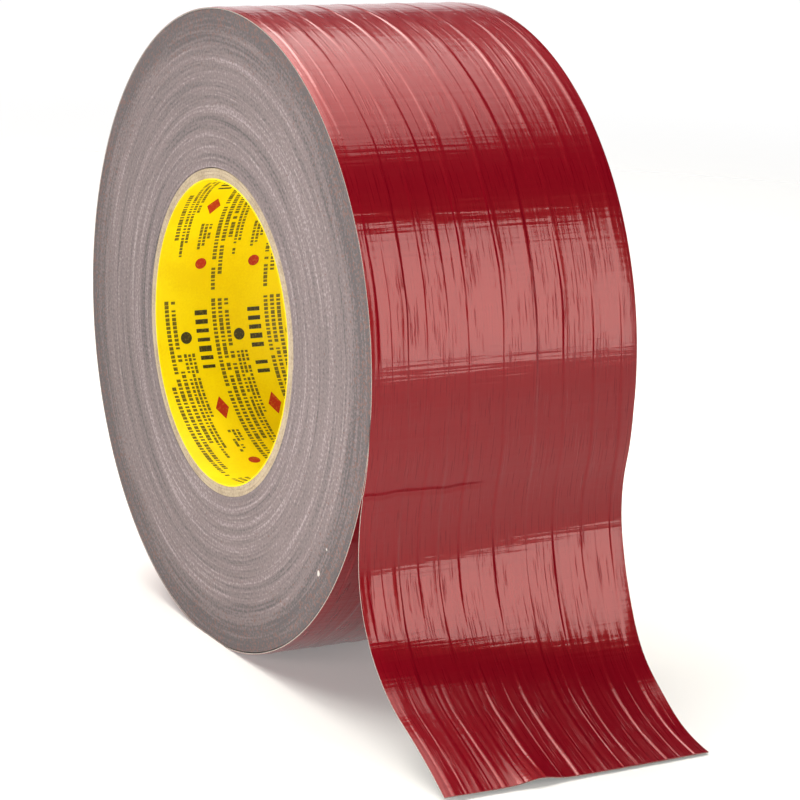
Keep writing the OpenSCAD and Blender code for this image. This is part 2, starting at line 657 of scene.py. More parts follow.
def lathe_solid(name: str, outline: list[Span], segments: int) -> Object:
    """Turn a closed outline about the roll's axis.

    Args:
        name: Name of the piece.
        outline: Pairs of radius and place along the axis.
        segments: Steps around the axis.

    Returns:
        The object.
    """
    turn = np.linspace(0, 2 * math.pi, segments, endpoint=False)
    radius, depth = np.array(outline).T
    points = np.stack([np.outer(np.cos(turn), radius), np.tile(depth, (segments, 1)),
                       np.outer(np.sin(turn), radius)], axis=2)
    grid = np.arange(points[..., 0].size).reshape(segments, len(outline))
    beside, beyond = np.roll(grid, -1, axis=1), np.roll(grid, -1, axis=0)
    quads = np.stack([grid, beside, np.roll(beside, -1, axis=0), beyond], axis=2).reshape(-1, 4)
    return closed_mesh(name, points.reshape(-1, 3), quads)


def start_tree(name: str, inputs: dict[str, tuple[str, ...]]) -> tuple[NodeTree, dict[str, Link]]:
    """Start a Geometry Nodes tree with named inputs.

    Args:
        name: Name of the tree.
        inputs: Kind of value, such as Float, to the names of its inputs.

    Returns:
        The tree and its inputs by name.
    """
    tree = bpy.data.node_groups.new(name, "GeometryNodeTree")
    for kind, labels in inputs.items():
        for label in labels:
            tree.interface.new_socket(label, in_out="INPUT", socket_type=f"NodeSocket{kind}")
    tree.interface.new_socket("Geometry", in_out="OUTPUT", socket_type="NodeSocketGeometry")
    entry = add_node(tree, "NodeGroupInput")
    return tree, {label: entry.outputs[label] for labels in inputs.values() for label in labels}


def end_tree(tree: NodeTree, geometry: Link, material: Link) -> None:
    """End a tree with real faces and their material.

    Args:
        tree: The tree.
        geometry: What it made.
        material: The finish.
    """
    real = add_node(tree, "GeometryNodeRealizeInstances", {0: geometry})
    dressed = add_node(tree, "GeometryNodeSetMaterial", {"Geometry": real, "Material": material})
    add_node(tree, "NodeGroupOutput", {0: dressed})


def grown(name: str, tree: NodeTree, values: dict) -> Object:
    """Run a Geometry Nodes tree and keep its result as a plain mesh.

    Args:
        name: Name of the piece.
        tree: The tree, whose result holds real faces.
        values: Input name to value.

    Returns:
        The object, with no modifier left on it.
    """
    piece = new_object(name, bpy.data.meshes.new(name))
    modifier = piece.modifiers.new("grow", "NODES")
    modifier.node_group = tree
    for socket in tree.interface.items_tree:
        if socket.in_out == "INPUT" and socket.name in values:
            modifier[socket.identifier] = values[socket.name]
    depsgraph = bpy.context.evaluated_depsgraph_get()
    mesh = bpy.data.meshes.new_from_object(piece.evaluated_get(depsgraph))
    mesh.name = name
    piece.modifiers.clear()
    piece.data = mesh
    return piece


def settle_piece(piece: Object, material: Material, nodes: list[str],
                 rides: bool = True) -> None:
    """Dress a piece, hide the solids that it replaces, and let it ride the roll.

    Args:
        piece: The finished mesh object.
        material: Its finish.
        nodes: The solids that it replaces.
        rides: Whether it rides the roll. A piece that doesn't is left unattached to any body.
    """
    piece.data.materials.clear()
    piece.data.materials.append(material)
    if nodes:
        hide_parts(*nodes)
    if rides:
        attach(piece, Body.ROLL.value)
    LOG.info("%s: %d faces", piece.name, len(piece.data.polygons))


# The roll

@dataclass(frozen=True)
class RollSizes:
    """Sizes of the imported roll, in millimetres."""

    half_w: float
    bore_r: float
    ply_r: tuple[float, ...]
    wound_r: float
    adhesive_r: float
    cloth_r: float
    roll_r: float
    floor_z: float
    press_fade: int = 12

    @classmethod
    def from_frame(cls) -> RollSizes:
        """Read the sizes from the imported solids.

        Returns:
            The sizes.
        """
        bore = next(mount for mount in frame["record"]["mounts"] if mount["name"] == "core_bore")
        top = {node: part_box(node)[1] / MM for node in frame["nodes"]}
        radius = {node: round(corner.z, 2) for node, corner in top.items()}
        return cls(half_w=top["wound_tape"].y, bore_r=bore["dims"]["r_mm"],
                   ply_r=tuple(radius[ply] for ply in PLY_NODES), wound_r=radius["wound_tape"],
                   adhesive_r=radius["outer_turn_adhesive"], cloth_r=radius["outer_turn_cloth"],
                   roll_r=radius["outer_turn_film"], floor_z=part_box("outer_turn_film")[0].z / MM)

    @property
    def tape_t(self) -> float:
        """Thickness of the tape."""
        return self.roll_r - self.wound_r

    def settled(self, points: Array) -> Array:
        """Press the underside of the roll flat where it stands, less and less towards the core.

        Args:
            points: Places on the roll, in millimetres.

        Returns:
            The pressed places.
        """
        pressed = points.copy()
        rim = np.sqrt(np.maximum(self.roll_r ** 2 - points[..., 0] ** 2, 1.0))
        lift = np.maximum(rim + self.floor_z, 0.0)
        depth = np.clip(-points[..., 2] / rim, 0.0, 1.0)
        pressed[..., 2] += lift * depth ** self.press_fade
        return pressed


@dataclass(frozen=True)
class TapeLayer:
    """One layer of the tape, between two heights over its sticky face."""

    label: str
    slot: Slot
    low: float
    high: float
    material: Material

    @staticmethod
    def stack(sizes: RollSizes) -> list[TapeLayer]:
        """Give the film, the cloth and the adhesive.

        Args:
            sizes: Sizes of the roll.

        Returns:
            The three layers with their finishes.
        """
        glue_top, cloth_top = sizes.adhesive_r - sizes.wound_r, sizes.cloth_r - sizes.wound_r
        return [TapeLayer("film", Slot.FILM, cloth_top, sizes.tape_t, TapeFilm().material()),
                TapeLayer("cloth", Slot.CLOTH, glue_top, cloth_top, CottonCloth().material()),
                TapeLayer("adhesive", Slot.ADHESIVE, 0.0, glue_top, RubberAdhesive().material())]


@dataclass(frozen=True)
class Crease:
    """One lengthwise fold line of the film, narrow and wandering."""

    place: float
    height: float
    wander: tuple[tuple[int, float, float], ...]
    fade: tuple[int, float]
    faces_right: bool
    swell: Span = (0.85, 0.4)
    limits: Span = (0.4, 1.1)

    def middle(self, turn: Array) -> Array:
        """Place across the tape at each turn angle."""
        return self.place + sum(size * np.sin(waves * turn + phase) for waves, phase, size in self.wander)

    def strength(self, turn: Array) -> Array:
        """Height at each turn angle."""
        (waves, phase), (mean, swing) = self.fade, self.swell
        return self.height * np.clip(mean + swing * np.sin(waves * turn + phase), *self.limits)


@dataclass
class Creases:
    """The film's surface: fold lines that were rolled in with the tape, and the puffs between them.

    The columns of the meshes follow the fold lines, so a thin line stays sharp.
    """

    half_w: float
    turn_len: float
    places: tuple[float, ...] = (-33.6, -30.2, -26.2, -23.4, -20.6, -15.6, -12.8, -9.8, -4.8, -0.4, 4.1, 8.2,
                                 12.2, 16.0, 20.1, 24.2, 28.0, 32.2)
    heights: tuple[float, ...] = (0.1, 0.03, 0.14, 0.02, 0.1, 0.11, 0.02, 0.14, 0.02, 0.15, 0.02, 0.14, 0.03,
                                  0.14, 0.02, 0.14, 0.03, 0.13)
    fine_below: float = 0.05
    fine_width: float = 0.5
    shared: tuple[tuple[int, float, float], ...] = ((5, 0.7, 0.45), (13, 2.1, 0.18))
    ripples: tuple[tuple[tuple[int, int], Span], ...] = (((4, 8), (0.08, 0.16)), ((11, 17), (0.04, 0.08)),
                                                         ((24, 38), (0.02, 0.05)))
    fade_waves: tuple[int, int] = (3, 9)
    phases: Span = (0.0, 6.28)
    right_share: float = 0.25
    offsets: tuple[float, ...] = (-1.6, -0.8, 0.0, 0.17, 0.37, 0.58, 0.95)
    profile: tuple[float, ...] = (0.0, 0.5, 1.0, 0.7, 0.25, 0.04, 0.0)
    cell_step: float = 0.42
    droop: float = 0.12
    droop_len: float = 3.0
    puff: float = 0.012
    puff_shares: Span = (0.35, 1.0)
    tail_puff: float = 0.06
    tail_puff_len: float = 70.0
    tail_puff_power: float = 1.5
    end_fold: float = 0.05
    end_fold_from: float = 48.0
    end_fold_len: float = 14.0
    seed: int = 11
    lines: list[Crease] = field(default_factory=list)
    puffs: list[float] = field(default_factory=list)

    def __post_init__(self) -> None:
        """Draw the fold lines once, so that roll and tail share them."""
        draw = np.random.default_rng(self.seed)
        for place, height in zip(self.places, self.heights):
            wander = [(int(draw.integers(*waves)), draw.uniform(*self.phases), draw.uniform(*sizes))
                      for waves, sizes in self.ripples]
            fade = (int(draw.integers(*self.fade_waves)), draw.uniform(*self.phases))
            faces_right = bool(draw.uniform() < self.right_share)
            self.lines.append(Crease(place, height, (*self.shared, *wander), fade, faces_right))
        self.puffs = [draw.uniform(*self.puff_shares) for _ in range(len(self.places) + 1)]

    def turn(self, along: Array) -> Array:
        """Turn angle at each place along the tape."""
        return 2 * math.pi * along / self.turn_len

    def columns(self, along: Array) -> Array:
        """Places across the tape of every mesh column.

        Args:
            along: Millimetres along the tape, one for each row.

        Returns:
            Rows by columns of millimetres from the tape's middle.
        """
        turn = self.turn(along)
        edge = np.full(len(along), self.half_w)
        groups: list[Array] = [-edge[:, None]]
        last, nominal = -edge, -self.half_w
        for line in self.lines:
            middle = line.middle(turn)
            near = [middle + offset for offset in self.section(line)[0]]
            groups += [self.between(last, near[0], line.place - nominal), np.stack(near, axis=1)]
            last, nominal = near[-1], line.place
        groups += [self.between(last, edge, self.half_w - nominal), edge[:, None]]
        return np.concatenate(groups, axis=1)

    def section(self, line: Crease) -> tuple[Array, Array]:
        """Give a fold line's section: a long slope up and a short steep one down.

        Args:
            line: The fold line, which says which way the steep side faces.

        Returns:
            Places across and heights, from left to right.
        """
        width = self.fine_width if line.height < self.fine_below else 1.0
        offsets, profile = np.array(self.offsets) * width, np.array(self.profile)
        return (offsets, profile) if line.faces_right else (-offsets[::-1], profile[::-1])

    def between(self, left: Array, right: Array, width: float) -> Array:
        """Even columns inside one cell.

        Args:
            left: Left side of the cell at each row.
            right: Right side of the cell at each row.
            width: Nominal width, which sets how many columns there are.

        Returns:
            Rows by columns.
        """
        count = max(int(width / self.cell_step), 2)
        share = np.arange(1, count) / count
        return left[:, None] + (right - left)[:, None] * share[None, :]

    def relief(self, along: Array, across: Array) -> Array:
        """Height of the film's surface.

        Args:
            along: Millimetres along the tape, one for each row. Past zero the tape hangs free.
            across: Rows by columns of places across the tape.

        Returns:
            Rows by columns of height in millimetres.
        """
        turn = self.turn(along)
        total = np.zeros_like(across)
        free = np.clip(along / self.tail_puff_len, 0.0, 1.0) ** self.tail_puff_power
        loose = np.clip((along - self.end_fold_from) / self.end_fold_len, 0.0, 1.0)
        edge = np.full(len(along), self.half_w)
        sides = [-edge, *[line.middle(turn) for line in self.lines], edge]
        for line, middle in zip(self.lines, sides[1:-1]):
            section = np.interp(across - middle[:, None], *self.section(line))
            total += (line.strength(turn) + self.end_fold * loose)[:, None] * section
        for left, right, size in zip(sides[:-1], sides[1:], self.puffs):
            share = np.clip((across - left[:, None]) / (right - left)[:, None], 0.0, 1.0)
            height = self.puff + self.tail_puff * size * free
            total += height[:, None] * np.sin(math.pi * share) ** 2
        past = np.clip((np.abs(across) - self.half_w + self.droop_len) / self.droop_len, 0.0, 1.0)
        return total + self.droop * (1 - past ** 2)


@dataclass
class OuterTurn:
    """The turn of tape that shows on the rim: film, cloth and adhesive."""

    sizes: RollSizes
    creases: Creases
    peel: float
    rows: int = 360
    coarse_rows: int = 250
    flat_half: float = 14.0
    flat_share: float = 0.6

    def build(self, layers: list[TapeLayer]) -> None:
        """Make and dress the three layers.

        Args:
            layers: The layers of the tape.
        """
        half_w, wound_r = self.sizes.half_w, self.sizes.wound_r
        for layer in layers:
            folded = layer.slot is Slot.FILM
            rows = self.rows if folded else self.coarse_rows
            along = np.linspace(-self.creases.turn_len, 0.0, rows + 1)
            edges = np.tile([-half_w, half_w], (rows + 1, 1))
            across = self.creases.columns(along) if folded else edges
            relief = self.creases.relief(along, across) if folded else np.zeros_like(edges)
            top = self.ring(across, along, wound_r + layer.high, relief)
            bottom = self.ring(edges, along, wound_r + layer.low, np.zeros_like(edges))
            piece = strip_solid(f"rim_{layer.label}", top, bottom, along)
            settle_piece(piece, layer.material, [f"outer_turn_{layer.label}"])

    def ring(self, across: Array, along: Array, radius: float, relief: Array) -> Array:
        """Points of one surface of the turn, smooth where the roll stands.

        Args:
            across: Rows by columns of places across the tape.
            along: Places along the tape, up to the peel line.
            radius: Radius of the smooth surface.
            relief: Height above it, rows by columns.

        Returns:
            Rows by columns of x, y, z.
        """
        turn = math.radians(self.peel) - along / self.creases.turn_len * 2 * math.pi
        past_flat = np.abs(radius * np.cos(turn)) - self.flat_half * self.flat_share
        under = np.clip(past_flat / self.flat_half, 0.0, 1.0)
        far = radius + relief * np.where(np.sin(turn) < 0, under, 1.0)[:, None]
        points = np.stack([far * np.cos(turn)[:, None], across, far * np.sin(turn)[:, None]], axis=2)
        return self.sizes.settled(points)


@dataclass
class WoundPack:
    """The tape below the outer turn: one strip, wound in a spiral, whose turns stand unevenly."""

    sizes: RollSizes
    steps_per_turn: int = 90
    gap_share: float = 0.04
    stagger: float = 0.12
    stagger_turns: float = 0.35
    seed: int = 3

    def tree(self) -> NodeTree:
        """Make the tree that winds the strip.

        Returns:
            A Geometry Nodes tree.
        """
        tree, known = start_tree("wind_tape", {
            "Float": ("Turns", "Inner Radius", "Outer Radius", "Thickness", "Width", "Stagger",
                      "Stagger Turns", "Seed"), "Int": ("Steps",), "Material": ("Material",)})
        spiral = add_node(tree, "GeometryNodeCurveSpiral", {
            "Resolution": known["Steps"], "Rotations": known["Turns"], "Start Radius": known["Inner Radius"],
            "End Radius": known["Outer Radius"], "Height": 0.0})
        known["share"] = add_node(tree, "GeometryNodeSplineParameter").outputs["Factor"]
        calculate(tree, known, [("turns", "MULTIPLY", "share", "Turns"),
                                ("waves", "DIVIDE", "turns", "Stagger Turns")])
        path = add_node(tree, "ShaderNodeCombineXYZ", {0: known["waves"], 1: known["Seed"]})
        known["noise"] = add_node(tree, "ShaderNodeTexNoise", {"Vector": path, "Scale": 1.0, "Detail": 2.0})
        calculate(tree, known, [("centred", "SUBTRACT", "noise", 0.5),
                                ("shift", "MULTIPLY", "centred", "Stagger")])
        offset = add_node(tree, "ShaderNodeCombineXYZ", {2: known["shift"]})
        wavy = add_node(tree, "GeometryNodeSetPosition", {"Geometry": spiral, "Offset": offset})
        upright = add_node(tree, "GeometryNodeSetCurveNormal", {"Curve": wavy}, mode="Z_UP")
        section = add_node(tree, "GeometryNodeCurvePrimitiveQuadrilateral", {
            "Width": known["Thickness"], "Height": known["Width"]})
        strip = add_node(tree, "GeometryNodeCurveToMesh", {
            "Curve": upright, "Profile Curve": section, "Fill Caps": True})
        laid = add_node(tree, "GeometryNodeTransform", {
            "Geometry": strip, "Rotation": (math.pi / 2, 0.0, 0.0)})
        end_tree(tree, laid, known["Material"])
        return tree

    def build(self, material: Material) -> None:
        """Make and dress the wound strip.

        Args:
            material: Finish of its slit edges.
        """
        s = self.sizes
        core_r = s.ply_r[-1]
        turns = round((s.wound_r - core_r) / s.tape_t)
        pitch = (s.wound_r - core_r) / turns
        piece = grown("wound_turns", self.tree(), {
            "Turns": float(turns - 1), "Steps": self.steps_per_turn,
            "Inner Radius": (core_r + pitch / 2) * MM, "Outer Radius": (s.wound_r - pitch / 2) * MM,
            "Thickness": pitch * (1 - self.gap_share) * MM,
            "Width": 2 * s.half_w * MM, "Stagger": self.stagger * MM, "Stagger Turns": self.stagger_turns,
            "Seed": float(self.seed), "Material": material})
        flat = np.empty(len(piece.data.vertices) * 3)
        piece.data.vertices.foreach_get("co", flat)
        placed = s.settled(flat.reshape(-1, 3) / MM) * MM
        piece.data.vertices.foreach_set("co", placed.ravel())
        piece.data.update()
        settle_piece(piece, material, ["wound_tape"])


@dataclass(frozen=True)
class MarkRow:
    """One row of plain marks on the liner, which fills its own stretch of each group around the bore.

    Its place is counted from the middle of a pitch. Marks with no sides are bars, and the others discs with
    that many sides. A mark's length varies down to its least share.
    """

    name: str
    ink: Ink
    place: float
    group: Span
    count: int = 220
    length: float = 1.05
    height: float = 0.8
    least: float = 0.45
    sides: int = 0
    kept: float = 0.95


@dataclass
class Core:
    """The paper core: three board plies and a yellow liner with plain printed marks."""

    sizes: RollSizes
    segments: int = 160
    edge_round: float = 0.12
    corner_share: float = 0.3
    ply_step: float = 0.07
    ink_t: float = 0.03
    row_count: int = 7
    row_pitch: float = 15.5
    groups: float = 4.0
    print_margin: float = 2.5
    bar_columns: int = 7

    def build(self, board: Material, paper: Material) -> None:
        """Make and dress the plies, the liner and its marks.

        Args:
            board: Finish of the plies.
            paper: Finish of the liner.
        """
        radii = (self.sizes.bore_r, *self.sizes.ply_r)
        names = ("liner_sheet", "board_inner", "board_middle", "board_outer")
        for number, (name, node) in enumerate(zip(names, PLY_NODES)):
            material, slot = (paper, Slot.LINER) if number == 0 else (board, Slot.BOARD)
            outline = self.wall(radii[number], radii[number + 1], self.ply_step * (number % 2))
            settle_piece(lathe_solid(name, outline, self.segments), material, [node])
        self.print_marks()

    def wall(self, inner: float, outer: float, back: float) -> list[Span]:
        """Outline of one ply with rounded edges.

        Args:
            inner: Inner radius.
            outer: Outer radius.
            back: How far its ends lie behind the faces of the roll.

        Returns:
            Pairs of radius and place along the axis.
        """
        end, e = self.sizes.half_w - back, self.edge_round
        near = self.corner_share * e
        corners = ((inner, -end, 1, 1), (outer, -end, -1, 1), (outer, end, -1, -1), (inner, end, 1, -1))
        outline: list[Span] = []
        for number, (radius, depth, into, up) in enumerate(corners):
            bend = [(radius, depth + up * e), (radius + into * near, depth + up * near),
                    (radius + into * e, depth)]
            outline += bend if number % 2 == 0 else bend[::-1]
        return outline

    def marks_tree(self) -> NodeTree:
        """Make the tree that prints rows of marks around the bore.

        Returns:
            A Geometry Nodes tree.
        """
        tree, known = start_tree("print_rows", {
            "Float": ("Bore Radius", "Row Pitch", "First Row", "Mark Length", "Mark Height", "Ink Thickness",
                      "Keep", "Least Length", "Reach", "Groups", "Group Start", "Group End"),
            "Int": ("Rows", "Marks", "Sides", "Seed"), "Bool": ("Round",), "Material": ("Material",)})
        place = add_node(tree, "ShaderNodeSeparateXYZ", {0: add_node(tree, "GeometryNodeInputPosition")})
        known |= {axis: place.outputs[axis] for axis in "XYZ"}
        known["kept"] = add_node(tree, "FunctionNodeRandomValue", {
            "Probability": known["Keep"], "Seed": known["Seed"]}, data_type="BOOLEAN")
        known["stretch"] = add_node(tree, "FunctionNodeRandomValue", {
            2: known["Least Length"], 3: 1.0, "Seed": known["Seed"]}, data_type="FLOAT")
        calculate(tree, known, [
            # A flat sheet of points, one for each mark.
            ("girth", "MULTIPLY", "Bore Radius", 2 * math.pi), ("gaps", "SUBTRACT", "Marks", 1.0),
            ("share", "DIVIDE", "gaps", "Marks"), ("length", "MULTIPLY", "girth", "share"),
            ("lanes", "SUBTRACT", "Rows", 1.0), ("height", "MULTIPLY", "lanes", "Row Pitch"),
            # Rows climb by one pitch in a turn, as print does on a strip that is wound in a helix.
            ("turn", "DIVIDE", "X", "girth"), ("climb", "MULTIPLY_ADD", "turn", "Row Pitch", "First Row"),
            # Marks come in groups around the bore, and each row fills its own stretch of a group.
            ("spread", "MULTIPLY", "turn", "Groups"), ("phase", "FRACT", "spread"),
            ("after", "GREATER_THAN", "phase", "Group Start"), ("before", "LESS_THAN", "phase", "Group End"),
            ("off", "ABSOLUTE", "Y"), ("inside", "LESS_THAN", "off", "Reach"),
            ("grouped", "MULTIPLY", "after", "before"), ("printed", "MULTIPLY", "grouped", "inside"),
            ("chosen", "MULTIPLY", "printed", "kept"), ("long", "MULTIPLY", "stretch", "Mark Length"),
            # The flat marks are wrapped round the bore at the end.
            ("angle", "DIVIDE", "X", "Bore Radius"), ("radius", "SUBTRACT", "Bore Radius", "Z"),
            ("cos", "COSINE", "angle"), ("sin", "SINE", "angle"),
            ("wrapped x", "MULTIPLY", "cos", "radius"), ("wrapped z", "MULTIPLY", "sin", "radius")])
        sheet = add_node(tree, "GeometryNodeMeshGrid", {
            "Size X": known["length"], "Size Y": known["height"], "Vertices X": known["Marks"],
            "Vertices Y": known["Rows"]})
        rise = add_node(tree, "ShaderNodeCombineXYZ", {1: known["climb"]})
        skewed = add_node(tree, "GeometryNodeSetPosition", {"Geometry": sheet, "Offset": rise})
        bar = add_node(tree, "GeometryNodeMeshCube", {
            "Size": (1.0, 1.0, 1.0), "Vertices X": self.bar_columns})
        disc = add_node(tree, "GeometryNodeMeshCylinder", {
            "Vertices": known["Sides"], "Radius": 0.5, "Depth": 1.0}, fill_type="TRIANGLE_FAN")
        shape = add_node(tree, "GeometryNodeSwitch", {"Switch": known["Round"], "False": bar, "True": disc},
                         input_type="GEOMETRY")
        scale = add_node(tree, "ShaderNodeCombineXYZ", {
            0: known["long"], 1: known["Mark Height"], 2: known["Ink Thickness"]})
        marks = add_node(tree, "GeometryNodeInstanceOnPoints", {
            "Points": skewed, "Selection": known["chosen"], "Instance": shape, "Scale": scale})
        real = add_node(tree, "GeometryNodeRealizeInstances", {0: marks})
        curved = add_node(tree, "ShaderNodeCombineXYZ", {
            0: known["wrapped x"], 1: known["Y"], 2: known["wrapped z"]})
        wrapped = add_node(tree, "GeometryNodeSetPosition", {"Geometry": real, "Position": curved})
        end_tree(tree, wrapped, known["Material"])
        return tree

    @staticmethod
    def mark_rows() -> list[MarkRow]:
        """List the rows of bars, lozenges, dots and lines of dashes.

        Returns:
            The rows, in the order in which they are printed.
        """
        rows = [MarkRow("liner_bars", Ink.DARK, 0.0, (0.02, 0.36), 100, 1.7, 3.6, 0.5),
                MarkRow("liner_lozenges", Ink.RED, 0.0, (0.42, 0.58), 12, 7.0, 3.8, 1.0, sides=4, kept=1.0),
                MarkRow("liner_dots", Ink.RED, 0.0, (0.75, 0.92), 12, 3.2, 3.2, 1.0, sides=20, kept=1.0),
                MarkRow("liner_rounds", Ink.DARK, -5.0, (0.1, 0.25), 12, 3.2, 3.2, 1.0, sides=20, kept=1.0)]
        blocks = (("dashes", 3.8, 1.9, 1.15, 0.0, (0.97, 0.9, 0.7)),
                  ("notes", -6.2, 1.2, 0.8, 0.24, (0.8, 0.72, 0.55)),
                  ("lines", -1.2, 1.2, 0.8, 0.62, (0.76, 0.74, 0.7)))
        for kind, first, pitch, height, start, ends in blocks:
            for number, (label, end) in enumerate(zip("abc", ends)):
                place = first + pitch * number
                rows.append(MarkRow(f"liner_{kind}_{label}", Ink.FINE, place, (start, end), height=height))
        return rows

    def print_marks(self) -> None:
        """Print every row on the liner."""
        s, tree = self.sizes, self.marks_tree()
        inks = {ink: PrintInk(ink).material() for ink in Ink}
        for seed, row in enumerate(self.mark_rows()):
            piece = grown(row.name, tree, {
                "Bore Radius": s.bore_r * MM, "Rows": self.row_count, "Row Pitch": self.row_pitch * MM,
                "First Row": row.place * MM, "Marks": row.count, "Mark Length": row.length * MM,
                "Mark Height": row.height * MM, "Ink Thickness": self.ink_t * 2 * MM, "Keep": row.kept,
                "Least Length": row.least, "Round": row.sides > 0, "Sides": max(row.sides, 3),
                "Reach": (s.half_w - self.print_margin) * MM, "Groups": self.groups,
                "Group Start": row.group[0], "Group End": row.group[1], "Seed": seed,
                "Material": inks[row.ink]})
            settle_piece(piece, inks[row.ink], [])


# The free end

@dataclass
class Tail:
    """The free end of the tape, which leaves the roll, hangs and lies out on the floor."""

    sizes: RollSizes
    creases: Creases
    peel: float
    lift: float = 0.3
    root_len: float = 17.0
    sunk: float = 0.36
    stretch: tuple[float, ...] = (20.0, 20.0, 20.0, 22.5)
    bend: tuple[float, ...] = (24.5, 22.6, 28.8, 8.8)
    twist: tuple[float, ...] = (4.0, -10.1, 0.7, 18.3)
    soften: float = 8.0
    lead: float = 32.0
    step: float = 0.1
    row_step: int = 4
    coarse_columns: int = 61
    pinch_depth: float = 0.3
    pinch_w: float = 0.55
    pinch_place: float = 2.2
    pinch_waves: tuple[Span, ...] = ((0.2, 3.1), (0.1, 1.3))
    pinch_end: float = -2.0
    pinch_fade: float = 6.0
    wave_rise: float = 1.3
    wave_place: float = -11.0
    wave_half: float = 5.0
    wave_len: float = 14.0
    curl_rise: float = 0.7
    curl_w: float = 6.0
    curl_place: float = 60.0
    curl_half: float = 8.0
    bend_span: tuple[Span, ...] = ((0.0, 8.0), (-7.5, 7.5), (-7.5, 7.5), (-7.5, 7.5))

    def rows(self) -> Array:
        """Fine places along the strip, from before the root to the cut end."""
        return np.arange(-self.root_len - self.lead, sum(self.stretch) + self.step / 2, self.step)

    def path(self, across: Array) -> tuple[Array, Array, Array]:
        """Follow the sticky face of the strip.

        Args:
            across: Places across the tape.

        Returns:
            Places along the strip, points and normals, each point and normal as x and z by row and column.
        """
        along = self.rows()
        spare = np.arange(along[0] - self.soften, along[-1] + self.soften + self.step / 2, self.step)
        radius = self.sizes.roll_r + self.lift
        side = across / self.sizes.half_w
        on_roll = self.peel - 90 - np.degrees(np.minimum(spare, 0.0) / radius)
        heading = on_roll[:, None] + np.zeros((1, len(across)))
        start = 0.0
        for length, bend, twist in zip(self.stretch, self.bend, self.twist):
            share = np.clip((spare - start) / length, 0.0, 1.0)
            heading = heading + share[:, None] * (bend + twist * side)[None, :]
            start += length
        window = np.hanning(int(self.soften / self.step) + 1)
        window /= window.sum()
        smooth = np.apply_along_axis(lambda h: np.convolve(h, window, mode="same"), 0, heading)
        first = int(round(self.soften / self.step))
        smooth = np.radians(smooth[first:first + len(along)])
        way = np.stack([np.cos(smooth), np.sin(smooth)], axis=2)
        begin = math.radians(self.peel) - along[0] / radius
        steps = np.concatenate([np.zeros((1, len(across), 2)), (way[1:] + way[:-1]) / 2 * self.step])
        points = radius * np.array([math.cos(begin), math.sin(begin)]) + np.cumsum(steps, axis=0)
        normals = np.stack([-way[..., 1], way[..., 0]], axis=2)
        return along, points, normals

    def surface(self, across: Array, rows: Array, above: float, relief: Array) -> Array:
        """Points of one surface of the strip.

        Args:
            across: Rows by columns of places across the tape.
            rows: Row numbers along the fine path.
            above: Height over the sticky face.
            relief: Rows by columns of height above that.

        Returns:
            Rows by columns of x, y, z.
        """
        along, points, normals = self.path(across.mean(axis=0))
        place = along[rows]
        ease = np.clip((place + self.root_len) / self.root_len, 0.0, 1.0)
        height = above - (self.lift + self.sunk) * (1 - ease * ease * (3 - 2 * ease))
        rise = height[:, None] + relief - self.pinch(across, place) + self.buckle(across, place)
        flat = points[rows] + normals[rows] * rise[..., None]
        return np.stack([flat[..., 0], across, flat[..., 1]], axis=2)

    def buckle(self, across: Array, place: Array) -> Array:
        """Rise of the wave at the cut end and of the curl along the right edge.

        Args:
            across: Rows by columns of places across the tape.
            place: Places along it.

        Returns:
            Rows by columns of height.
        """
        along = place[:, None]
        near_end = np.clip((along - sum(self.stretch) + self.wave_len) / self.wave_len, 0.0, 1.0) ** 2
        wave = np.exp(-((across - self.wave_place) / self.wave_half) ** 2)
        beside = np.clip((across - self.sizes.half_w + self.curl_w) / self.curl_w, 0.0, 1.0) ** 2
        lifted = np.exp(-((along - self.curl_place) / self.curl_half) ** 2)
        return self.wave_rise * near_end * wave + self.curl_rise * beside * lifted

    def pinch(self, across: Array, place: Array) -> Array:
        """Depth of the short fold across the tape where it leaves the roll.

        Args:
            across: Rows by columns of places across the tape.
            place: Places along it.

        Returns:
            Rows by columns of depth.
        """
        fade = np.clip((self.pinch_end - across) / self.pinch_fade, 0.0, 1.0)
        line = self.pinch_place + sum(size * np.sin(across / length) for size, length in self.pinch_waves)
        away = place[:, None] - line
        return self.pinch_depth * fade * np.exp(-(away / self.pinch_w) ** 2)

    def build(self, layers: list[TapeLayer]) -> None:
        """Make, dress and hang the strip, split half way between its bends.

        Args:
            layers: The layers of the tape.
        """
        half_w = self.sizes.half_w
        bodies = list(Body)[1:]
        middles = np.cumsum((0.0,) + self.stretch[:-1]) + np.array(self.stretch) / 2
        fine = self.rows()
        ends = (-self.root_len, *middles[:-1], sum(self.stretch))
        cuts = [int(np.abs(fine - end).argmin()) for end in ends]
        joints = {(joint["parent"], joint["child"]): joint for joint in frame["joints"]}
        for number, (upper, lower) in enumerate(zip(bodies[:-1], bodies[1:])):
            first, last = cuts[number:number + 2]
            rows = np.unique(np.append(np.arange(first, last, self.row_step), last))
            pivot = Vector(joints[upper.value, lower.value]["pos_m"])
            heading = self.heading_at(pivot)
            folded = self.creases.columns(fine[rows])
            plain = np.tile(np.linspace(-half_w, half_w, self.coarse_columns), (len(rows), 1))
            level = np.zeros_like(plain)
            for layer in layers:
                across, relief = plain, level
                if layer.slot is Slot.FILM:
                    across, relief = folded, self.creases.relief(fine[rows], folded)
                top = self.surface(across, rows, layer.high, relief)
                bottom = self.surface(plain, rows, layer.low, level)
                piece = strip_solid(f"hanging_{layer.label}_{number + 1}", top, bottom, fine[rows])
                shown = [upper, lower] if number == 0 else [lower]
                nodes = [f"{body.value}_{layer.label}" for body in shown]
                settle_piece(piece, layer.material, nodes, rides=False)
                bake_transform(piece)

